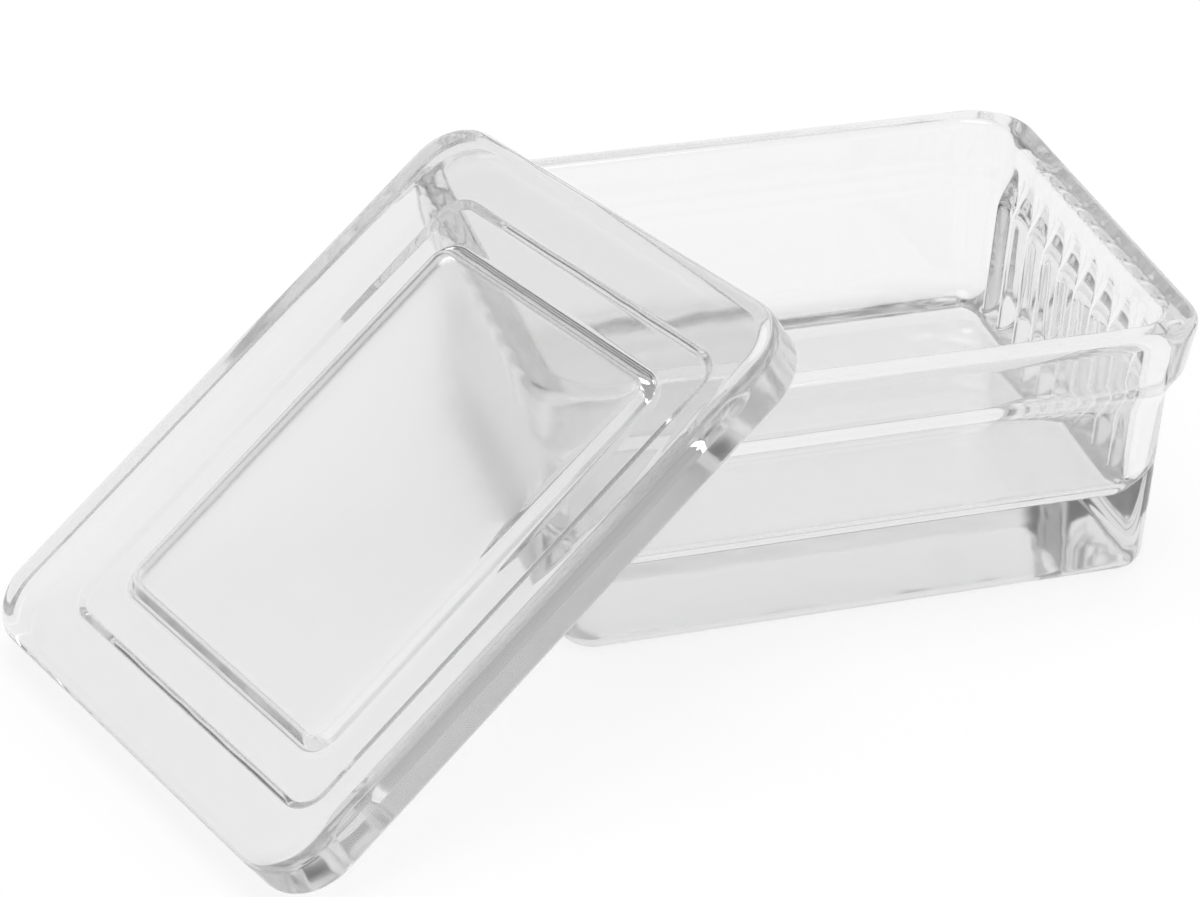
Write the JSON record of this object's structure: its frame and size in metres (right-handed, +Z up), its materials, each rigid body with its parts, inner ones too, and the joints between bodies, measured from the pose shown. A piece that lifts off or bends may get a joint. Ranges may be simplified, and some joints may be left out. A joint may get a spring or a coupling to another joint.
{
  "type": "slide staining jar",
  "caption": "Rectangular pressed-glass jar with ribbed end walls that hold microscope slides upright in stain, with a loose flat glass lid leaning on its rim.",
  "frame": {"origin": "centre of the jar's flat base, on the surface it stands on", "axes": "+Z up, +X along the jar's long side, +Y along its short side away from the end of the lid that stands on the table"},
  "size_m": [0.1554, 0.1093, 0.0553],
  "materials": {
    "jar_glass": "clear colourless pressed soda-lime glass, fire-polished",
    "lid_glass": "clear colourless pressed soda-lime glass, with a softly wavy pressed underside"
  },
  "bodies": {
    "root": {"jar": "jar_glass", "lid": "lid_glass"}
  },
  "joints": []
}
